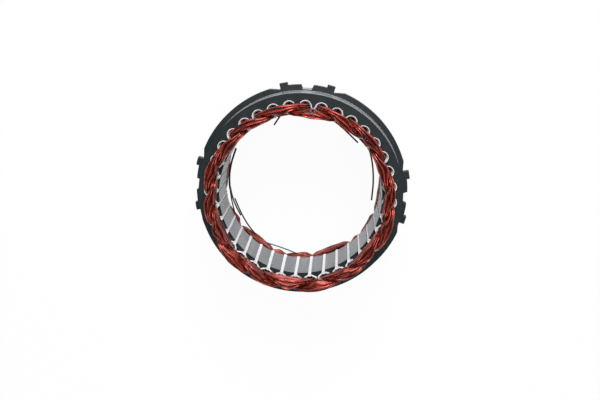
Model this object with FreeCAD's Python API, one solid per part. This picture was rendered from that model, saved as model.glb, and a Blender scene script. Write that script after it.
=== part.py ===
"""Wound stator of a vehicle alternator.

The part lies flat on its rear end winding with the front side up. +Z is the axis of the
bore and points to the front, the origin is on that axis in the middle of the core's length,
and the three groups of clamping lugs stand on +X, +Y and -X. Millimetres throughout.
"""
import FreeCAD, Part
import math
import os

Vec = FreeCAD.Vector

# ---- Driving dimensions -------------------------------------------------------------
# Laminated core
SLOTS = 36
POLES = 12
STACK_LENGTH = 30.5
BORE_R = 51.0
YOKE = 4.5                   # steel outside the slots, out to the housing seats
FRONT_REGISTER = 13.0        # length of the turned seat for each end housing
REAR_REGISTER = 13.0
FLANGE_STEP = 3.6            # rise of the middle band, which the housings clamp, over the seats

# Slots and teeth
SLOT_OPENING = 2.1
TIP_THICKNESS = 0.9
SLOT_WIDTH = 6.8
SHOULDER_DEPTH = 1.4
SLOT_DEPTH = 8.5
SLOT_FACETS = 8              # flats round the bottom of a slot

# Clamping lug groups on the flange, as angles from the middle of a group
LUG_GROUPS = (0.0, 90.0, 180.0)
GAP_FLOOR_STEP = 0.8         # over the seats
GAP_FLOOR_HALF = 2.4
GAP_MOUTH_HALF = 3.3
TALL_LUG_STEP = 1.8          # over the band
TALL_LUG_START = 10.4
TALL_LUG_END = 14.6
FLAT_END = 20.3

# Slot liners: creased sheet, flared where it leaves the core
LINER_SHEET = 0.5
LINER_CLEARANCE = 0.1
LINER_OVERHANG = 2.5
ARCH_FLARE = 0.75
SHOULDER_FLARE = 1.1
ARCH_FOLDS = 4

# Slot closing strips
STRIP_CLEARANCE = 0.1
STRIP_RECESS = 0.3
STRIP_THICKNESS = 1.6
STRIP_OVERHANG = 2.3

# Windings: one flat bundle of enamelled wire per phase
FRONT_HALF_HEIGHT = 5.8      # half of a bundle's axial size in the front end winding
REAR_HALF_HEIGHT = 4.8
SLOT_BUNDLE_HALF_WIDTH = 2.6 # across the slot
LANE_GAP = 0.35              # between the inner and outer lanes of an end winding
FRONT_SET_BACK = 1.2         # front end winding, outwards from the bore
REAR_OVERHANG = 0.9          # rear end winding, inwards from the bore
OUTER_SET_BACK = 1.3         # both end windings, inwards from the slot bottoms
PASSING_CLEARANCE = 0.2      # over the bundles that a span crosses
RISE = 4.2                   # height at which a bundle has reached its lane

# Lead ends along the inside of the rear end winding
LEAD_R = 0.7
SLEEVE_R = 0.85
TAIL_R = 0.45
LEAD_SEAT = 0.05             # clearance to the bundle that a lead lies against
LEAD_DEPTH = 7.5             # below the core's rear face
TAIL_DEPTH = 9.5
SLEEVE_FOOT = 189.0          # angle where the lead meets its sleeve
SLEEVE_JOINT = 0.2           # degrees between the two

# ---- Derived sizes ------------------------------------------------------------------
PITCH = 360.0 / SLOTS
SPAN = 360.0 / POLES
SLOT_HALF = SLOT_WIDTH / 2.0
SLOT_BOTTOM_R = BORE_R + SLOT_DEPTH
REGISTER_R = SLOT_BOTTOM_R + YOKE
FLANGE_R = REGISTER_R + FLANGE_STEP
GAP_FLOOR_R = REGISTER_R + GAP_FLOOR_STEP
TALL_LUG_R = FLANGE_R + TALL_LUG_STEP
ARCH_CENTRE_R = SLOT_BOTTOM_R - SLOT_HALF
MOUTH_R = BORE_R + TIP_THICKNESS
NECK_R = MOUTH_R + SHOULDER_DEPTH
FRONT_INNER_R = BORE_R + FRONT_SET_BACK
REAR_INNER_R = BORE_R - REAR_OVERHANG
WINDING_OUTER_R = SLOT_BOTTOM_R - OUTER_SET_BACK
CORE_FRONT_Z = STACK_LENGTH / 2.0
CORE_REAR_Z = -CORE_FRONT_Z
FLANGE_LENGTH = STACK_LENGTH - FRONT_REGISTER - REAR_REGISTER


def at(radius, degrees, z):
    """Point in cylindrical coordinates."""
    angle = math.radians(degrees)
    return Vec(radius * math.cos(angle), radius * math.sin(angle), z)


def line(a, b):
    return Part.LineSegment(a, b).toShape()


def arc(radius, start, end, z=0.0):
    """Arc about the axis between two angles."""
    middle = (start + end) / 2.0
    return Part.Arc(at(radius, start, z), at(radius, middle, z), at(radius, end, z)).toShape()


def local(slot_angle, along, across, z):
    """Point in a slot's own frame: along its centre line from the axis, and across it."""
    return FreeCAD.Rotation(Vec(0, 0, 1), slot_angle).multVec(Vec(along, across, z))


def export(shape, node):
    shape.exportStep("parts/%s.step" % node)
    print("%-20s solids %2d  volume %9.1f" % (node, len(shape.Solids), shape.Volume))


def solid_through(rings, closed=False):
    """Solid with flat facets through a row of rings that have the same number of points."""
    following = rings[1:] + rings[:1] if closed else rings[1:]
    faces = []
    for ring, after in zip(rings, following):
        for i in range(len(ring)):
            j = (i + 1) % len(ring)
            for corners in ((ring[i], ring[j], after[j]), (ring[i], after[j], after[i])):
                faces.append(Part.Face(Part.makePolygon(list(corners) + [corners[0]])))
    if not closed:
        for ring in (rings[0], rings[-1]):
            faces.append(Part.Face(Part.makePolygon(ring + ring[:1])))
    shell = Part.Shell(faces)
    shell.sewShape()
    solid = Part.Solid(shell)
    if solid.Volume < 0:
        solid.reverse()
    return solid


# ---- Laminated core -----------------------------------------------------------------
def slot_edges(centre):
    """Edges of one slot, from its mouth round its bottom and back to its mouth."""
    half_mouth = SLOT_OPENING / 2.0
    bore_edge = math.sqrt(BORE_R ** 2 - half_mouth ** 2)
    first = [local(centre, bore_edge, -half_mouth, 0), local(centre, MOUTH_R, -half_mouth, 0),
             local(centre, NECK_R, -SLOT_HALF, 0), local(centre, ARCH_CENTRE_R, -SLOT_HALF, 0)]
    last = [local(centre, ARCH_CENTRE_R, SLOT_HALF, 0), local(centre, NECK_R, SLOT_HALF, 0),
            local(centre, MOUTH_R, half_mouth, 0), local(centre, bore_edge, half_mouth, 0)]
    bottom = []
    for k in range(1, SLOT_FACETS):
        angle = math.pi * k / SLOT_FACETS
        bottom.append(local(centre, ARCH_CENTRE_R + SLOT_HALF * math.sin(angle),
                            -SLOT_HALF * math.cos(angle), 0))
    outline = first + bottom + last
    return [line(a, b) for a, b in zip(outline, outline[1:])]


def bore_and_slots():
    """Closed wire of the bore with its slots."""
    half_mouth_angle = math.degrees(math.asin(SLOT_OPENING / 2.0 / BORE_R))
    edges = []
    for k in range(SLOTS):
        edges.extend(slot_edges(k * PITCH))
        edges.append(arc(BORE_R, k * PITCH + half_mouth_angle, (k + 1) * PITCH - half_mouth_angle))
    return Part.Wire(edges)


def flange_outline():
    """Closed wire of the clamped band: round, with lugs, flats and gaps at each group."""
    flat_r = FLANGE_R * math.cos(math.radians(FLAT_END)) / math.cos(math.radians(TALL_LUG_END))
    edges = []
    for group, following in zip(LUG_GROUPS, LUG_GROUPS[1:] + (LUG_GROUPS[0] + 360.0,)):
        def go(radius, offset, middle=group):
            return at(radius, middle + offset, 0)
        edges.append(line(go(FLANGE_R, -FLAT_END), go(flat_r, -TALL_LUG_END)))
        edges.append(line(go(flat_r, -TALL_LUG_END), go(TALL_LUG_R, -TALL_LUG_END)))
        edges.append(arc(TALL_LUG_R, group - TALL_LUG_END, group - TALL_LUG_START))
        edges.append(line(go(TALL_LUG_R, -TALL_LUG_START), go(FLANGE_R, -TALL_LUG_START)))
        edges.append(arc(FLANGE_R, group - TALL_LUG_START, group - GAP_MOUTH_HALF))
        edges.append(line(go(FLANGE_R, -GAP_MOUTH_HALF), go(GAP_FLOOR_R, -GAP_FLOOR_HALF)))
        edges.append(arc(GAP_FLOOR_R, group - GAP_FLOOR_HALF, group + GAP_FLOOR_HALF))
        edges.append(line(go(GAP_FLOOR_R, GAP_FLOOR_HALF), go(FLANGE_R, GAP_MOUTH_HALF)))
        edges.append(arc(FLANGE_R, group + GAP_MOUTH_HALF, group + TALL_LUG_START))
        edges.append(line(go(FLANGE_R, TALL_LUG_START), go(TALL_LUG_R, TALL_LUG_START)))
        edges.append(arc(TALL_LUG_R, group + TALL_LUG_START, group + TALL_LUG_END))
        edges.append(line(go(TALL_LUG_R, TALL_LUG_END), go(flat_r, TALL_LUG_END)))
        edges.append(line(go(flat_r, TALL_LUG_END), go(FLANGE_R, FLAT_END)))
        edges.append(arc(FLANGE_R, group + FLAT_END, following - FLAT_END))
    return Part.Wire(edges)


def lamination_stack():
    """Stack of punched sheets, welded and lacquered into one block."""
    body = Part.makeCylinder(REGISTER_R, STACK_LENGTH)
    band = Part.Face(flange_outline()).extrude(Vec(0, 0, FLANGE_LENGTH))
    band.translate(Vec(0, 0, REAR_REGISTER))
    punching = Part.Face(bore_and_slots()).extrude(Vec(0, 0, STACK_LENGTH))
    stack = body.fuse(band).cut(punching)
    return stack.translate(Vec(0, 0, CORE_REAR_Z))


# ---- Slot liners and closing strips -------------------------------------------------
def liner_centre_line(flare):
    """Middle of the liner's sheet in the slot's frame; flare runs from 0, flat, to 1."""
    inset = LINER_CLEARANCE + LINER_SHEET / 2.0
    length = math.hypot(SHOULDER_DEPTH, SLOT_HALF - SLOT_OPENING / 2.0)
    slope = Vec(SHOULDER_DEPTH / length, (SLOT_HALF - SLOT_OPENING / 2.0) / length, 0)
    normal = Vec(slope.y, -slope.x, 0)
    start = Vec(MOUTH_R, SLOT_OPENING / 2.0, 0) + normal * inset + slope * inset
    side = SLOT_HALF - inset
    corner = start + slope * ((side - start.y) / slope.y)
    arch = side + flare * ARCH_FLARE
    half = [start - Vec(flare * ARCH_FLARE / 2.0, 0, 0),
            corner + Vec(0, flare * SHOULDER_FLARE, 0)]
    for k in range(ARCH_FOLDS + 1):
        angle = math.pi / 2.0 - math.pi * k / ARCH_FOLDS
        half.append(Vec(ARCH_CENTRE_R + arch * math.cos(angle), arch * math.sin(angle), 0))
    mirrored = [Vec(p.x, -p.y, 0) for p in reversed(half[:2])]
    return half + mirrored


def sheet_ring(middle, thickness):
    """Closed ring around an open line of points, half a thickness to each side."""
    left = []
    right = []
    for i, point in enumerate(middle):
        before = (point - middle[i - 1]).normalize() if i else None
        after = (middle[i + 1] - point).normalize() if i + 1 < len(middle) else None
        first = before or after
        second = after or before
        normal_one = Vec(-first.y, first.x, 0)
        normal_two = Vec(-second.y, second.x, 0)
        mitre = (normal_one + normal_two).normalize()
        reach = thickness / 2.0 / mitre.dot(normal_one)
        left.append(point + mitre * reach)
        right.append(point - mitre * reach)
    return left + right[::-1]


def slot_liner(slot_angle):
    """Sheet that lines one slot and flares over the core at both ends."""
    rings = []
    for z, flare in ((CORE_REAR_Z - LINER_OVERHANG, 1.0), (CORE_REAR_Z, 0.0),
                     (CORE_FRONT_Z, 0.0), (CORE_FRONT_Z + LINER_OVERHANG, 1.0)):
        ring = sheet_ring(liner_centre_line(flare), LINER_SHEET)
        rings.append([local(slot_angle, p.x, p.y, z) for p in ring])
    return solid_through(rings)


def closing_strip(slot_angle):
    """Insulating strip that closes the mouth of one slot."""
    width = SLOT_OPENING - 2.0 * STRIP_CLEARANCE
    length = STACK_LENGTH + 2.0 * STRIP_OVERHANG
    corner = Vec(BORE_R + STRIP_RECESS, -width / 2.0, CORE_REAR_Z - STRIP_OVERHANG)
    strip = Part.makeBox(STRIP_THICKNESS, width, length, corner)
    strip.rotate(Vec(0, 0, 0), Vec(0, 0, 1), slot_angle)
    return strip


# ---- Windings -----------------------------------------------------------------------
# A bundle leaves its slot, leans into a lane, turns along the core face, passes over the
# bundles between its two slots and goes down again. Two lanes lie side by side; one phase
# keeps to the inner one, one to the outer one, and the third changes from one to the other.
INNER, OUTER = 0, 1

# One bend from the slot to the lane: distance along the lane, share of the climb, turn of
# the section in degrees, and share of the growth in its height.
EXIT_HEIGHT = 2.6
EXIT_HALF_RADIAL = 2.0
EXIT_CLEARANCE = 0.2         # between the bundle and the liner's fold at its corner
BEND = (
    (0.0, 0.0, 90.0, 0.0),
    (1.4, 0.5, 48.0, 0.25),
    (5.0, 0.8, 14.0, 0.6),
    (11.0, 1.0, 0.0, 1.0),
)
SECTION_SHOULDER = 0.55      # share of a section's half height where its flanks end
CROSS_START = 13.0
CROSS_END = 16.8


def lane_half_width(front):
    """Half of a bundle's radial size: two lanes fill an end winding."""
    inner = FRONT_INNER_R if front else REAR_INNER_R
    return (WINDING_OUTER_R - inner - LANE_GAP) / 4.0


def lane_radius(lane, front):
    """Middle radius of a lane of the front or the rear end winding."""
    if lane == OUTER:
        return WINDING_OUTER_R - lane_half_width(front)
    return (FRONT_INNER_R if front else REAR_INNER_R) + lane_half_width(front)


def passing(front):
    """Height of a bundle's middle over the core face between its bends, and its half height."""
    half_height = FRONT_HALF_HEIGHT if front else REAR_HALF_HEIGHT
    return RISE + PASSING_CLEARANCE + half_height, half_height


def exit_radius(lane):
    """Middle radius of a bundle at the tip of its slot liner."""
    if lane == INNER:
        return NECK_R + EXIT_CLEARANCE + EXIT_HALF_RADIAL
    inside = SLOT_HALF - LINER_CLEARANCE - LINER_SHEET
    corner = SECTION_SHOULDER * SLOT_BUNDLE_HALF_WIDTH
    arch = ARCH_CENTRE_R + inside - corner * math.tan(math.pi / ARCH_FOLDS / 2.0)
    return arch - EXIT_CLEARANCE - EXIT_HALF_RADIAL


def section(radius, degrees, height, front, turn, half_radial, half_height):
    """Six-sided section of a bundle; turn is the lean of its high side along the core."""
    z = CORE_FRONT_Z + height if front else CORE_REAR_Z - height
    centre = at(radius, degrees, z)
    outward = at(1.0, degrees, 0)
    along = at(1.0, degrees + 90.0, 0)
    lean = math.radians(turn)
    up = along * math.sin(lean) + Vec(0, 0, math.cos(lean))
    shoulder = SECTION_SHOULDER * half_height
    return [centre + up * half_height,
            centre + outward * half_radial + up * shoulder,
            centre + outward * half_radial - up * shoulder,
            centre - up * half_height,
            centre - outward * half_radial - up * shoulder,
            centre - outward * half_radial + up * shoulder]


def bend(slot, lane, front, forward):
    """Sections from a slot into its lane; forward is +1 where the span leads to +angle."""
    rings = []
    radius = lane_radius(lane, front)
    sign = -forward if front else forward
    rings.append(section(exit_radius(lane), slot, EXIT_HEIGHT, front, sign * 90.0,
                         EXIT_HALF_RADIAL, SLOT_BUNDLE_HALF_WIDTH))
    top, full = passing(front)
    for distance, climb, turn, growth in BEND:
        degrees = slot + forward * math.degrees(distance / radius)
        height = RISE + climb * (top - RISE)
        half_height = SLOT_BUNDLE_HALF_WIDTH + growth * (full - SLOT_BUNDLE_HALF_WIDTH)
        rings.append(section(radius, degrees, height, front, sign * turn,
                             lane_half_width(front), half_height))
    return rings


def span(slot, first_lane, last_lane, front):
    """Sections of one end span, from its first slot to the slot a pole further on."""
    rings = bend(slot, first_lane, front, 1)
    if first_lane == last_lane:
        middle = ((SPAN / 2.0, first_lane),)
    else:
        middle = ((CROSS_START, first_lane), (CROSS_END, last_lane))
    height, half_height = passing(front)
    for offset, lane in middle:
        rings.append(section(lane_radius(lane, front), slot + offset, height, front, 0.0,
                             lane_half_width(front), half_height))
    rings.extend(reversed(bend(slot + SPAN, last_lane, front, -1)))
    return rings


def phase_winding(first_slot, first_lane, last_lane):
    """One phase: a wave that runs once round the core, front span and rear span in turn."""
    rings = []
    for pair in range(POLES // 2):
        slot = first_slot + 2.0 * SPAN * pair
        rings.extend(span(slot, first_lane, last_lane, True))
        rings.extend(span(slot + SPAN, first_lane, last_lane, False))
    return solid_through(rings, closed=True)


# ---- Lead ends ----------------------------------------------------------------------
# Every path is a list of points, each given as how far it stands in from its seat on the
# inner lane of the rear end winding, and its angle.
def wire(points, radius, seat_r, depth, sides=6):
    """Round wire with flat facets, at one depth below the core's rear face."""
    path = [at(seat_r - inset, degrees, CORE_REAR_Z - depth) for inset, degrees in points]
    rings = []
    for i, point in enumerate(path):
        ahead = path[min(i + 1, len(path) - 1)] - path[max(i - 1, 0)]
        ahead.normalize()
        across = ahead.cross(Vec(0, 0, 1))
        ring = []
        for k in range(sides):
            angle = 2.0 * math.pi * k / sides
            ring.append(point + (across * math.cos(angle) + Vec(0, 0, math.sin(angle))) * radius)
        rings.append(ring)
    return solid_through(rings)


def lead(*points):
    """Lead end, dark with varnish."""
    return wire(points, LEAD_R, REAR_INNER_R - LEAD_SEAT - LEAD_R, LEAD_DEPTH)


def sleeve(*points):
    """Insulating sleeve drawn over the end of a lead, closed at its tip."""
    return wire(points, SLEEVE_R, REAR_INNER_R - LEAD_SEAT - SLEEVE_R, LEAD_DEPTH)


def tail(*points):
    """Bare enamelled end of one strand."""
    return wire(points, TAIL_R, REAR_INNER_R - LEAD_SEAT - TAIL_R, TAIL_DEPTH)


# ---- Build --------------------------------------------------------------------------
os.makedirs("parts", exist_ok=True)
export(lamination_stack(), "lamination_stack")
for k in range(SLOTS):
    export(slot_liner(k * PITCH), "slot_liner_%02d" % (k + 1))
export(Part.makeCompound([closing_strip(k * PITCH) for k in range(SLOTS)]), "slot_strips")
export(phase_winding(PITCH, INNER, INNER), "phase_winding_u")
export(phase_winding(3.0 * PITCH, OUTER, OUTER), "phase_winding_v")
export(phase_winding(5.0 * PITCH, INNER, OUTER), "phase_winding_w")
export(lead((0.0, 106.0), (0.4, 109.0), (2.8, 113.0), (6.3, 120.0)), "lead_end_1")
export(lead((0.1, 89.0), (0.9, 79.0), (3.6, 63.0), (4.6, 52.0), (4.2, 40.0)), "lead_end_2")
export(lead((0.0, 31.0), (0.3, 25.0), (1.0, 17.5), (1.5, 9.0), (1.8, 0.0), (1.7, -9.0),
            (1.4, -12.0)), "lead_end_3")
export(lead((0.1, 209.0), (0.3, 203.0), (0.5, SLEEVE_FOOT)), "lead_end_4")
export(sleeve((0.0, SLEEVE_FOOT - SLEEVE_JOINT), (0.0, 183.0), (0.2, 175.0), (0.2, 166.0),
              (0.0, 157.0)), "lead_sleeve")
export(tail((0.0, 186.0), (0.2, 195.0), (0.5, 205.0), (0.7, 213.0)), "tail_end_1")
export(tail((0.0, 233.0), (0.3, 228.0), (1.2, 219.0), (1.8, 208.0), (1.6, 198.0)), "tail_end_2")
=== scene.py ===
import math
import random

import bmesh
import bpy
from mathutils import Matrix, Vector


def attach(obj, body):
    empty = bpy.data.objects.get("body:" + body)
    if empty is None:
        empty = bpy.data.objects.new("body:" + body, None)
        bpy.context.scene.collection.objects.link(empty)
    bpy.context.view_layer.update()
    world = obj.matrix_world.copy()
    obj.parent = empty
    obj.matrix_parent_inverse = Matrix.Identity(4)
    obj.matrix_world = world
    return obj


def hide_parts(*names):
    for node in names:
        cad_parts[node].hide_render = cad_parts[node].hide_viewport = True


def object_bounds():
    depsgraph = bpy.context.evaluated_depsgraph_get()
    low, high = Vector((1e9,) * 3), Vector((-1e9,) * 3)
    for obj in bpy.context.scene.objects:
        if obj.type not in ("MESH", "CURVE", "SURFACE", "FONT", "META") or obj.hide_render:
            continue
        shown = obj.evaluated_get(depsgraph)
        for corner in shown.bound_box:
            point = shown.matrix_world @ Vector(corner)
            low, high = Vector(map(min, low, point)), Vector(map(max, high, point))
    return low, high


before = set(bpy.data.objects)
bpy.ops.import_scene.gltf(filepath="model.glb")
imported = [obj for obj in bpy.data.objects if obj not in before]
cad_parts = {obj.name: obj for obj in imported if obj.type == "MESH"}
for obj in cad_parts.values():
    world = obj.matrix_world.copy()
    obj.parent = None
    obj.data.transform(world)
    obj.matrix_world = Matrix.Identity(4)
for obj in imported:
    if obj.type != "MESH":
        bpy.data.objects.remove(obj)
cad_box = [list(corner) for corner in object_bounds()]

# Camera. It stands above the front side of the stator, a little towards its top, and looks
# at the middle of the core's front face.
FRONT_FACE = 0.01525
STAND_DIRECTION = (0.0528, 0.2453, 0.9680)
STAND_OFF = 0.4804
TURN = Matrix.Rotation(math.radians(3.23), 3, "Z")

back = TURN @ Vector(STAND_DIRECTION).normalized()
right = (TURN @ Vector((0.0, 1.0, 0.0))).cross(back).normalized()
upward = back.cross(right)
camera = bpy.data.objects.new("camera", bpy.data.cameras.new("camera"))
bpy.context.collection.objects.link(camera)
camera.matrix_world = Matrix.Translation(Vector((0, 0, FRONT_FACE)) + STAND_OFF * back) @ (
    Matrix((right, upward, back)).transposed().to_4x4())
camera.data.sensor_width = 36.0
camera.data.lens = 46.14
camera.data.shift_x = -0.00035
camera.data.shift_y = -0.0072333333
bpy.context.scene.camera = camera


# Laminated core. About sixty punched sheets of electrical steel, welded into a pack and
# dipped in black lacquer. The two housing seats, the lug gaps and the bore are turned or
# punched bare, and the edges of the sheets show there as fine lines.
SEAT_R = 0.064
BORE_R = 0.051
GAP_R = 0.0648
BAND = 0.0045
SHEET = 0.0005
HAIR = 0.0001  # width over which one finish gives way to the next
FLUSH = 0.00002  # how far below a face its finish begins to change
LACQUER = ((0.008, 0.012, 0.014, 1), (0.022, 0.030, 0.034, 1))
STEEL = ((0.24, 0.25, 0.265, 1), (0.46, 0.475, 0.50, 1))
SEAT_STEEL = (0.46, 0.47, 0.49, 1)
GAP_STEEL = (0.66, 0.67, 0.69, 1)
SHEET_JOINT = (0.09, 0.085, 0.085, 1)


class Nodes:
    """Shader nodes of one finish, joined up as they are named."""

    def __init__(self, name):
        self.material = bpy.data.materials.new(name)
        self.material.use_nodes = True
        self.tree = self.material.node_tree
        self.shader = self.tree.nodes["Principled BSDF"]
        self.place = self.add("ShaderNodeTexCoord").outputs["Object"]

    def add(self, kind, **settings):
        node = self.tree.nodes.new(kind)
        for key, value in settings.items():
            setattr(node, key, value)
        return node

    def join(self, source, socket):
        if isinstance(source, bpy.types.NodeSocket):
            self.tree.links.new(source, socket)
        else:
            socket.default_value = source

    def maths(self, operation, first, second=0.0):
        node = self.add("ShaderNodeMath", operation=operation)
        self.join(first, node.inputs[0])
        self.join(second, node.inputs[1])
        return node.outputs[0]

    def step(self, value, low, high, bottom=0.0, top=1.0):
        node = self.add("ShaderNodeMapRange", interpolation_type="SMOOTHSTEP")
        for i, given in enumerate((value, low, high, bottom, top)):
            self.join(given, node.inputs[i])
        return node.outputs[0]

    def noise(self, scale, detail=3.0, stretch=(1.0, 1.0, 1.0)):
        mapping = self.add("ShaderNodeMapping")
        self.join(self.place, mapping.inputs["Vector"])
        mapping.inputs["Scale"].default_value = stretch
        node = self.add("ShaderNodeTexNoise")
        self.join(mapping.outputs[0], node.inputs["Vector"])
        node.inputs["Scale"].default_value = scale
        node.inputs["Detail"].default_value = detail
        return node.outputs["Fac"]

    def blend(self, share, first, second):
        node = self.add("ShaderNodeMix", data_type="RGBA")
        self.join(share, node.inputs[0])
        self.join(first, node.inputs[6])
        self.join(second, node.inputs[7])
        return node.outputs[2]

    def axis(self):
        """Radius from the bore's axis, and height along it."""
        split = self.add("ShaderNodeSeparateXYZ")
        self.join(self.place, split.inputs[0])
        x, y, z = split.outputs
        across = self.maths("ADD", self.maths("MULTIPLY", x, x), self.maths("MULTIPLY", y, y))
        return self.maths("SQRT", across), z

    def bump(self, height, strength, distance):
        node = self.add("ShaderNodeBump")
        node.inputs["Strength"].default_value = strength
        node.inputs["Distance"].default_value = distance
        self.join(height, node.inputs["Height"])
        self.join(node.outputs[0], self.shader.inputs["Normal"])


def core_finish():
    finish = Nodes("core_lacquer_over_steel")
    radius, height = finish.axis()
    sheets = finish.maths("PINGPONG", height, SHEET / 2)
    sheet_edge = finish.step(sheets, 0.0, SHEET / 2)
    along = finish.maths("ABSOLUTE", height)
    on_seat = finish.maths("MULTIPLY", finish.step(radius, SEAT_R - 2 * HAIR, SEAT_R - HAIR),
                           finish.step(radius, SEAT_R + 2 * HAIR, SEAT_R + HAIR))
    in_gap = finish.maths("MULTIPLY", finish.step(radius, GAP_R + 5 * HAIR, GAP_R + 3 * HAIR),
                          finish.step(along, BAND / 2 - FLUSH, BAND / 2 - HAIR))
    outside_seat = finish.step(radius, SEAT_R + 2 * HAIR, SEAT_R + 4 * HAIR)
    in_gap = finish.maths("MULTIPLY", in_gap, outside_seat)
    in_bore = finish.step(radius, BORE_R + 4 * HAIR, BORE_R + HAIR)
    off_face = finish.step(along, FRONT_FACE - FLUSH, FRONT_FACE - HAIR)
    bare = finish.maths("MAXIMUM", finish.maths("MAXIMUM", on_seat, in_gap), in_bore)
    bare = finish.maths("MULTIPLY", bare, off_face)
    wear = finish.step(finish.noise(700.0, 4.0), 0.35, 0.75)
    streak = finish.noise(220.0, 4.0, (1.0, 1.0, 0.15))
    lacquer = finish.blend(finish.noise(90.0), *LACQUER)
    steel = finish.blend(streak, *STEEL)
    steel = finish.blend(on_seat, steel, SEAT_STEEL)
    steel = finish.blend(in_gap, steel, GAP_STEEL)
    sheet_joint = finish.maths("MULTIPLY", finish.maths("SUBTRACT", 1.0, sheet_edge), 0.45)
    steel = finish.blend(sheet_joint, steel, SHEET_JOINT)
    finish.join(finish.blend(bare, lacquer, steel), finish.shader.inputs["Base Color"])
    finish.join(finish.maths("MULTIPLY", bare, 0.85), finish.shader.inputs["Metallic"])
    finish.join(finish.step(wear, 0.0, 1.0, 0.38, 0.55), finish.shader.inputs["Roughness"])
    finish.shader.inputs["Specular IOR Level"].default_value = 0.25
    ridges = finish.maths("MULTIPLY", sheet_edge, off_face)
    relief = finish.maths("ADD", ridges, finish.maths("MULTIPLY", wear, 0.3))
    finish.bump(relief, 0.35, 0.00015)
    return finish.material


def dress(node, material):
    """Gives a node of the frame its finish."""
    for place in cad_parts[node].material_slots:
        place.link = "OBJECT"
        place.material = material


dress("lamination_stack", core_finish())


# Slot liners. One creased sheet of white insulating paper lines each slot and is flared
# over the core at both ends, so that the wire can't rub on the edge of the steel.
SLOTS = 36
PITCH = math.radians(10.0)
ARCH_CENTRE = 0.0561
ARCH_R = 0.00305
ARCH_FACETS = 12
LINER_SHEET = 0.00038
# Half of the liner's outline, from where its edges meet behind the strip to the slot's wall.
HALF_OUTLINE = [(0.0523, -0.0001), (0.0523, -0.0012), (0.0528, -0.0022), (0.0536, -0.00305),
                (0.0548, -0.00305)]
# Distance from the core's middle, and how many times wider the sheet stands there.
FLARED_TIP = ((0.0149, 1.0), (0.0159, 1.06), (0.0167, 1.19), (0.0174, 1.30), (0.01775, 1.33))
SHOULDER_DEPTH = 0.0012
LIP = 0.0010
LIP_HEIGHT = 0.0175
PAPER = ((0.84, 0.84, 0.82, 1), (0.93, 0.93, 0.92, 1))
PAPER_STAIN = (0.45, 0.30, 0.24, 1)


def paper_finish():
    finish = Nodes("liner_paper")
    stain = finish.step(finish.noise(260.0, 4.0), 0.5, 0.78, 0.0, 0.5)
    white = finish.blend(finish.noise(90.0), *PAPER)
    finish.join(finish.blend(stain, white, PAPER_STAIN), finish.shader.inputs["Base Color"])
    finish.shader.inputs["Roughness"].default_value = 0.62
    finish.bump(finish.noise(900.0, 4.0), 0.3, 0.0001)
    return finish.material


def liner_mesh(angle):
    """Sheet through one slot: its outline is drawn at the rear tip and extruded forwards."""
    bm = bmesh.new()
    arch = []
    for k in range(ARCH_FACETS + 1):
        turn = math.pi * k / ARCH_FACETS
        arch.append((ARCH_CENTRE + ARCH_R * math.sin(turn), -ARCH_R * math.cos(turn)))
    outline = HALF_OUTLINE + arch + [(x, -y) for x, y in reversed(HALF_OUTLINE)]
    stations = tuple((-z, flare) for z, flare in reversed(FLARED_TIP)) + FLARED_TIP
    ring = [bm.verts.new((x, y, 0.0)) for x, y in outline]
    edges = [bm.edges.new(pair) for pair in zip(ring, ring[1:])]
    centre = Matrix.Translation((-ARCH_CENTRE, 0, 0))
    last = (0.0, 1.0)
    for z, flare in stations:
        if last[0]:
            grown = bmesh.ops.extrude_edge_only(bm, edges=edges)["geom"]
            ring = [g for g in grown if isinstance(g, bmesh.types.BMVert)]
            edges = [g for g in grown if isinstance(g, bmesh.types.BMEdge)]
        grow = flare / last[1]
        bmesh.ops.translate(bm, verts=ring, vec=(0, 0, z - last[0]))
        bmesh.ops.scale(bm, verts=ring, vec=(grow, grow, 1), space=centre)
        shoulders = [v for v in ring if v.co.x < ARCH_CENTRE - SHOULDER_DEPTH * flare]
        bmesh.ops.scale(bm, verts=shoulders, vec=(1, grow ** 0.5, 1))
        if abs(z) > LIP_HEIGHT:
            rolled = [v for v in shoulders if abs(v.co.y) > LIP]
            bmesh.ops.translate(bm, verts=rolled, vec=(LIP, 0, 0))
        last = (z, flare)
    bmesh.ops.recalc_face_normals(bm, faces=bm.faces)
    bmesh.ops.solidify(bm, geom=bm.faces[:] + bm.edges[:] + bm.verts[:], thickness=LINER_SHEET)
    bmesh.ops.recalc_face_normals(bm, faces=bm.faces)
    bmesh.ops.rotate(bm, verts=bm.verts, matrix=Matrix.Rotation(angle, 3, "Z"))
    return bm


def finished(bm, name, material, smooth=True):
    """Object of a piece, at the origin, from its mesh."""
    mesh = bpy.data.meshes.new(name)
    for face in bm.faces:
        face.smooth = smooth
    bm.to_mesh(mesh)
    bm.free()
    mesh.materials.append(material)
    piece = bpy.data.objects.new(name, mesh)
    bpy.context.collection.objects.link(piece)
    return piece


paper = paper_finish()
for k in range(SLOTS):
    piece = finished(liner_mesh(k * PITCH), "liner_%02d" % (k + 1), paper)
    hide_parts("slot_liner_%02d" % (k + 1))
    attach(piece, "root")


# Closing strips. A stiff white strip is pushed in from the end over the wires and shuts the
# mouth of each slot behind the tooth tips.
STRIP = ((0.80, 0.80, 0.83, 1), (0.93, 0.93, 0.96, 1))


def strip_finish():
    finish = Nodes("closing_strip")
    tone = finish.blend(finish.noise(120.0, 3.0, (1, 1, 0.2)), *STRIP)
    finish.join(tone, finish.shader.inputs["Base Color"])
    finish.shader.inputs["Roughness"].default_value = 0.45
    finish.bump(finish.noise(500.0, 3.0, (1, 1, 0.1)), 0.2, 0.0001)
    return finish.material


dress("slot_strips", strip_finish())


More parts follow.
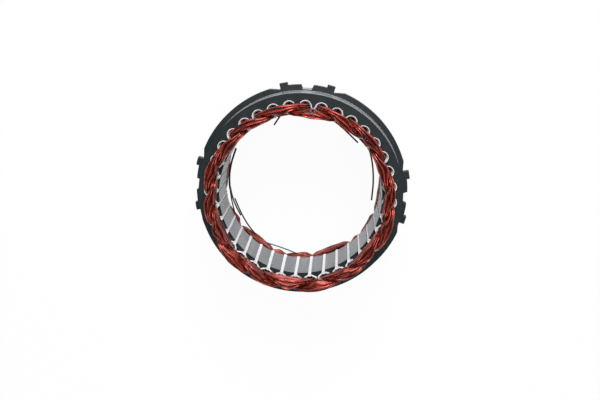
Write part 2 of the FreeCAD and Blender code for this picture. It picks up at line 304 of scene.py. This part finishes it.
# Phase windings. Each phase is one bundle of red enamelled copper wire that runs round the
# core as a wave: over the front from one slot to the slot a pole further on, down that slot
# and back over the rear. Where two phases run side by side each keeps to its own lane, and
# where one runs alone its wires spread over both. The whole winding is dipped in varnish.
MM = 0.001
WIRE_R = 0.55
POLE_PITCH = 30
POLE_PAIRS = 6
# Place of each wire in its bundle: u across its thickness and v up its height, -1 to 1.
STRANDS = [(u, 0.18 * k) for u in (-0.9, 0.9) for k in (-5, -3, -1, 1, 3, 5)] + [
    (0.0, k / 3.0) for k in (-3, -2, -1, 0, 1, 2, 3)]
# Radii and heights over the core's face, in millimetres.
LANES = {("front", "inner"): 53.2, ("front", "outer"): 57.2,
         ("rear", "inner"): 52.2, ("rear", "outer"): 56.4}
HALF_LANE = 1.6
MIDDLE = {"front": 54.2, "rear": 53.4}
HEIGHTS = {"front": (4.9, 15.1), "rear": (4.9, 13.1)}
SLOT_FILL_R = 56.1
SLOT_FILL_HALF_DEPTH = 1.7
SLOT_FILL_HALF_WIDTH = 2.0
DOWN_THE_SLOT = -6.0
AT_THE_TIP = 1.5
FOOT_HEIGHT = 2.5
# How far the lowest wire of a bundle reaches along its lane, and how much more the top one.
LOW_REACH = 3.0
REACH_GAIN = 9.0
# How far the outer wires stand off their bundle's middle where it runs alone, likewise.
LOW_FAN = 1.3
FAN_GAIN = 1.8
# Where a wire bends, as shares of its reach along the lane and of its rise over the foot.
FIRST_BEND = (0.10, 0.48)
SHOULDER = (0.42, 0.81)
CLEAR_OF_SHOULDER = 0.55
LEVELS_OFF_OVER = 0.50
# Degrees past its slot, and the share of its way off the lane that a wire has made there.
SPREAD = ((6.5, 0.08), (9.5, 0.30), (12.5, 0.72))
# How far out from the inner lane two groups of wires keep: those of the phase that crosses
# at the rear, and the low ones at the front.
CROSSING_SET_BACK = 1.4
LOW_SET_BACK = 0.8
# The rear bundles are opened outwards on one side, by a millimetre at most, and the low
# wires of the front ones are pulled in on both, most of all at PULLED_IN_AT.
OPENED_AT = math.radians(165.0)
PULLED_IN = 1.2
PULLED_IN_AT = 5.0
PULLED_IN_OVER = 7.0


def wire_point(radius, degrees, height, side):
    angle = math.radians(degrees)
    face = FRONT_FACE / MM
    if side == "rear":
        radius += max(0.0, math.cos(angle - OPENED_AT))
        z = -face - height
    else:
        fade = max(0.0, 1.0 - abs(height - PULLED_IN_AT) / PULLED_IN_OVER)
        radius -= PULLED_IN * math.cos(angle) ** 2 * fade
        z = face + height
    return Vector((radius * math.cos(angle), radius * math.sin(angle), z)) * MM


def half_wave(u, v, slot, lanes, side, chance):
    """One wire from the bottom of its slot over one end and into the slot a pole further on."""
    climb = (v + 1.0) / 2.0
    low, high = HEIGHTS[side]
    top = low + climb * (high - low) + chance.uniform(-0.35, 0.2)
    rise = top - FOOT_HEIGHT
    reach = LOW_REACH + REACH_GAIN * climb + chance.uniform(-0.8, 0.8)
    home = 0.5 * (LANES[side, lanes[0]] + LANES[side, lanes[1]])
    fan = u * (LOW_FAN + FAN_GAIN * climb) + chance.uniform(-0.3, 0.3)
    alone = 0.5 * (home + MIDDLE[side] + climb) + fan
    points = []
    for lane, turn in ((lanes[0], 1), (lanes[1], -1)):
        foot = slot if turn > 0 else slot + POLE_PITCH
        across = -SLOT_FILL_HALF_WIDTH * v
        in_lane = LANES[side, lane] + (u + chance.uniform(-0.15, 0.15)) * (HALF_LANE - WIRE_R)
        if side == "rear" and lanes[0] != lanes[1] and lane == "inner":
            in_lane += CROSSING_SET_BACK
        if side == "front" and lane == "inner":
            in_lane += LOW_SET_BACK * (1.0 - climb)
        in_slot = SLOT_FILL_R + SLOT_FILL_HALF_DEPTH * u
        leg = [(in_slot, across, DOWN_THE_SLOT),
               (in_slot, across, AT_THE_TIP),
               (0.5 * (in_slot + in_lane), across + FIRST_BEND[0] * reach,
                FOOT_HEIGHT + FIRST_BEND[1] * rise),
               (in_lane, across + SHOULDER[0] * reach, FOOT_HEIGHT + SHOULDER[1] * rise)]
        for away, lean in SPREAD:
            along = in_lane * math.radians(away)
            gone = (along - across) / reach
            if gone > CLEAR_OF_SHOULDER:
                level = min(1.0, (gone - SHOULDER[0]) / LEVELS_OFF_OVER)
                share = SHOULDER[1] + (1.0 - SHOULDER[1]) * level
                leg.append((in_lane + lean * (alone - in_lane), along, FOOT_HEIGHT + share * rise))
        points.append([(r, foot + turn * math.degrees(along / r), h) for r, along, h in leg])
    middle = [(alone, slot + POLE_PITCH / 2, top)]
    return [wire_point(*place, side) for place in points[0] + middle + points[1][::-1]]


def winding(name, first_slot, lanes, material, seed):
    """One curve object with a closed spline for every wire of the bundle."""
    chance = random.Random(seed)
    curve = bpy.data.curves.new(name, "CURVE")
    curve.dimensions = "3D"
    curve.bevel_depth = WIRE_R * MM
    curve.bevel_resolution = 2
    curve.resolution_u = 3
    for u, v in STRANDS:
        points = []
        for pair in range(POLE_PAIRS):
            start = first_slot + 2 * POLE_PITCH * pair
            points += half_wave(u, v, start, lanes, "front", chance)
            points += half_wave(u, -v, start + POLE_PITCH, lanes, "rear", chance)
        spline = curve.splines.new("NURBS")
        spline.points.add(len(points) - 1)
        for control, point in zip(spline.points, points):
            control.co = (*point, 1.0)
        spline.use_cyclic_u = True
        spline.order_u = 3
    curve.materials.append(material)
    piece = bpy.data.objects.new(name, curve)
    bpy.context.collection.objects.link(piece)
    return piece


STREAKS_PER_METRE = 900.0
STREAKS_PER_RADIAN = 5.0
ENAMEL = ((0.035, 0.002, 0.002, 1), (0.46, 0.054, 0.031, 1))
ENAMEL_IN_SHADE = (0.02, 0.002, 0.002, 1)
VARNISH_DROPS = (0.07, 0.006, 0.005, 1)
SHADE_FADES = (0.0160, 0.0260)


def copper_finish():
    """Red enamel with streaks along the wires, darker close to the core."""
    finish = Nodes("enamelled_wire")
    radius, height = finish.axis()
    split = finish.add("ShaderNodeSeparateXYZ")
    finish.join(finish.place, split.inputs[0])
    turn = finish.maths("ARCTAN2", split.outputs[1], split.outputs[0])
    along = finish.add("ShaderNodeCombineXYZ")
    finish.join(finish.maths("MULTIPLY", radius, STREAKS_PER_METRE), along.inputs[0])
    finish.join(finish.maths("MULTIPLY", turn, STREAKS_PER_RADIAN), along.inputs[1])
    finish.join(finish.maths("MULTIPLY", height, STREAKS_PER_METRE), along.inputs[2])
    streaks = finish.add("ShaderNodeTexNoise")
    finish.join(along.outputs[0], streaks.inputs["Vector"])
    streaks.inputs["Scale"].default_value = 1.0
    streaks.inputs["Detail"].default_value = 2.0
    tone = finish.step(streaks.outputs["Fac"], 0.34, 0.62)
    colour = finish.blend(tone, *ENAMEL)
    open_air = finish.step(finish.maths("ABSOLUTE", height), *SHADE_FADES, 0.35, 1.0)
    colour = finish.blend(open_air, ENAMEL_IN_SHADE, colour)
    drops = finish.step(finish.noise(420.0, 4.0), 0.55, 0.75, 0.0, 0.5)
    colour = finish.blend(drops, colour, VARNISH_DROPS)
    finish.join(colour, finish.shader.inputs["Base Color"])
    finish.shader.inputs["Metallic"].default_value = 0.6
    finish.shader.inputs["Roughness"].default_value = 0.32
    finish.shader.inputs["Coat Weight"].default_value = 0.25
    finish.shader.inputs["Coat Roughness"].default_value = 0.15
    finish.bump(finish.noise(350.0, 2.0), 0.08, 0.0001)
    return finish.material


copper = copper_finish()
for letter, slot, lanes in (("u", 10, ("inner", "inner")), ("v", 30, ("outer", "outer")),
                            ("w", 50, ("inner", "outer"))):
    piece = winding("strands_" + letter, slot, lanes, copper, slot)
    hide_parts("phase_winding_" + letter)
    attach(piece, "root")


# Lead ends. The ends of the phases come out along the inside of the rear end winding. The
# thick ones are drawn near black and one wears a black sleeve. Two loose strand ends, and
# a strand that has sprung out of its bundle, are enamelled wire drawn a very dark red.
LEAD_R = 0.55
SLEEVED_LEAD_R = 0.45
SLEEVE_R = 0.66
TAIL_R = 0.5
STRAY_R = 0.42
LEAD_DEPTH = -22.75
TAIL_DEPTH = -24.75


def lead_finish(name, dark, light, roughness):
    finish = Nodes(name)
    tone = finish.step(finish.noise(300.0, 4.0), 0.35, 0.7)
    finish.join(finish.blend(tone, dark, light), finish.shader.inputs["Base Color"])
    finish.shader.inputs["Roughness"].default_value = roughness
    finish.bump(finish.noise(900.0, 3.0), 0.25, 0.0001)
    return finish.material


def lead(name, node, radius, depth, points, material):
    """Stiff wire led by points given as radius in millimetres and degrees about the axis."""
    curve = bpy.data.curves.new(name, "CURVE")
    curve.dimensions = "3D"
    curve.bevel_depth = radius * MM
    curve.bevel_resolution = 3
    curve.resolution_u = 6
    curve.use_fill_caps = True
    spline = curve.splines.new("NURBS")
    spline.points.add(len(points) - 1)
    for i, (r, degrees) in enumerate(points):
        angle = math.radians(degrees)
        spline.points[i].co = (r * math.cos(angle) * MM, r * math.sin(angle) * MM, depth * MM, 1.0)
    spline.order_u = 3
    spline.use_endpoint_u = True
    curve.materials.append(material)
    piece = bpy.data.objects.new(name, curve)
    bpy.context.collection.objects.link(piece)
    if node:
        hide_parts(node)
    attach(piece, "root")


# Near-black leads and very dark red strands, much darker than the winding's enamel.
near_black = lead_finish("near_black_lead", dark=(0.008, 0.007, 0.007, 1),
                        light=(0.030, 0.020, 0.018, 1), roughness=0.35)
darkened = lead_finish("darkened_strand", dark=(0.010, 0.005, 0.004, 1),
                       light=(0.060, 0.016, 0.010, 1), roughness=0.3)
sleeving = lead_finish("lead_sleeving", dark=(0.012, 0.012, 0.013, 1),
                       light=(0.030, 0.030, 0.031, 1), roughness=0.55)
lead("lead_1", "lead_end_1", LEAD_R, LEAD_DEPTH,
     [(49.35, 106), (48.95, 109), (46.55, 113), (43.05, 120)], near_black)
lead("lead_2", "lead_end_2", LEAD_R, LEAD_DEPTH,
     [(49.25, 89), (48.45, 79), (45.75, 63), (44.75, 52), (45.15, 40)], near_black)
lead("lead_3", "lead_end_3", LEAD_R, LEAD_DEPTH,
     [(49.3, 31), (48.6, 25), (47.7, 17.5), (47.1, 9), (46.9, 0), (47.2, -9), (47.6, -11.5)],
     near_black)
lead("lead_4", "lead_end_4", SLEEVED_LEAD_R, LEAD_DEPTH,
     [(51.8, 209), (51.0, 203), (50.3, 196), (50.0, 189)], near_black)
lead("sleeve", "lead_sleeve", SLEEVE_R, LEAD_DEPTH,
     [(50.0, 189.2), (50.1, 183), (50.1, 175), (50.1, 166), (50.3, 156.7)], sleeving)
lead("tail_1", "tail_end_1", TAIL_R, TAIL_DEPTH,
     [(50.2, 186), (50.0, 195), (49.7, 205), (49.5, 213)], darkened)
lead("tail_2", "tail_end_2", TAIL_R, TAIL_DEPTH,
     [(50.2, 233), (49.9, 228), (49.0, 219), (48.4, 208), (48.5, 198)], darkened)
lead("stray_wire", None, STRAY_R, TAIL_DEPTH,
     [(51.4, 241), (50.1, 247), (49.6, 255), (50.3, 263), (52.6, 271)], darkened)


# Floor and light. A plain pale table, a soft key lamp beyond the top of the stator, one
# overhead and a weak one from below it.
FLOOR_HALF_WIDTH = 3.0
FLOOR_GAP = 0.0002
FLOOR_WHITE = (0.86, 0.86, 0.86, 1)
GLOW = 0.96  # share of plain white in what the camera and mirrors see of the floor
SKY_LEVEL = 0.16


def floor_finish():
    finish = Nodes("pale_floor")
    finish.shader.inputs["Base Color"].default_value = FLOOR_WHITE
    finish.shader.inputs["Roughness"].default_value = 0.8
    rays = finish.add("ShaderNodeLightPath")
    seen = finish.maths("MAXIMUM", rays.outputs["Is Camera Ray"],
                        finish.maths("MAXIMUM", rays.outputs["Is Glossy Ray"],
                                     rays.outputs["Is Transmission Ray"]))
    white = finish.add("ShaderNodeEmission")
    mix = finish.add("ShaderNodeMixShader")
    finish.join(finish.maths("MULTIPLY", seen, GLOW), mix.inputs[0])
    finish.join(finish.shader.outputs[0], mix.inputs[1])
    finish.join(white.outputs[0], mix.inputs[2])
    finish.join(mix.outputs[0], finish.tree.nodes["Material Output"].inputs["Surface"])
    return finish.material


bm = bmesh.new()
bmesh.ops.create_grid(bm, x_segments=1, y_segments=1, size=FLOOR_HALF_WIDTH)
bmesh.ops.translate(bm, verts=bm.verts, vec=(0, 0, cad_box[0][2] - FLOOR_GAP))
floor = finished(bm, "floor", floor_finish(), smooth=False)


def lamp(name, place, size, power):
    """Square soft lamp that points at the stator."""
    light = bpy.data.lights.new(name, "AREA")
    light.size = size
    light.energy = power
    holder = bpy.data.objects.new(name, light)
    bpy.context.collection.objects.link(holder)
    holder.location = place
    holder.rotation_euler = Vector(place).to_track_quat("Z", "Y").to_euler()


lamp("lamp_key", place=(0.05, 0.85, 0.70), size=0.5, power=12.5)
lamp("lamp_over", place=(0.15, 0.30, 1.20), size=0.6, power=4.2)
lamp("lamp_low", place=(0.0, -0.85, 0.55), size=0.4, power=3.0)

world = bpy.data.worlds.new("studio")
bpy.context.scene.world = world
world.use_nodes = True
sky = world.node_tree.nodes["Background"]
sky.inputs["Color"].default_value = (1, 1, 1, 1)
strength = world.node_tree.nodes.new("ShaderNodeMath")
strength.operation = "MAXIMUM"
strength.inputs[1].default_value = SKY_LEVEL
rays = world.node_tree.nodes.new("ShaderNodeLightPath")
world.node_tree.links.new(rays.outputs["Is Camera Ray"], strength.inputs[0])
world.node_tree.links.new(strength.outputs[0], sky.inputs["Strength"])
bpy.context.scene.view_settings.view_transform = "Standard"
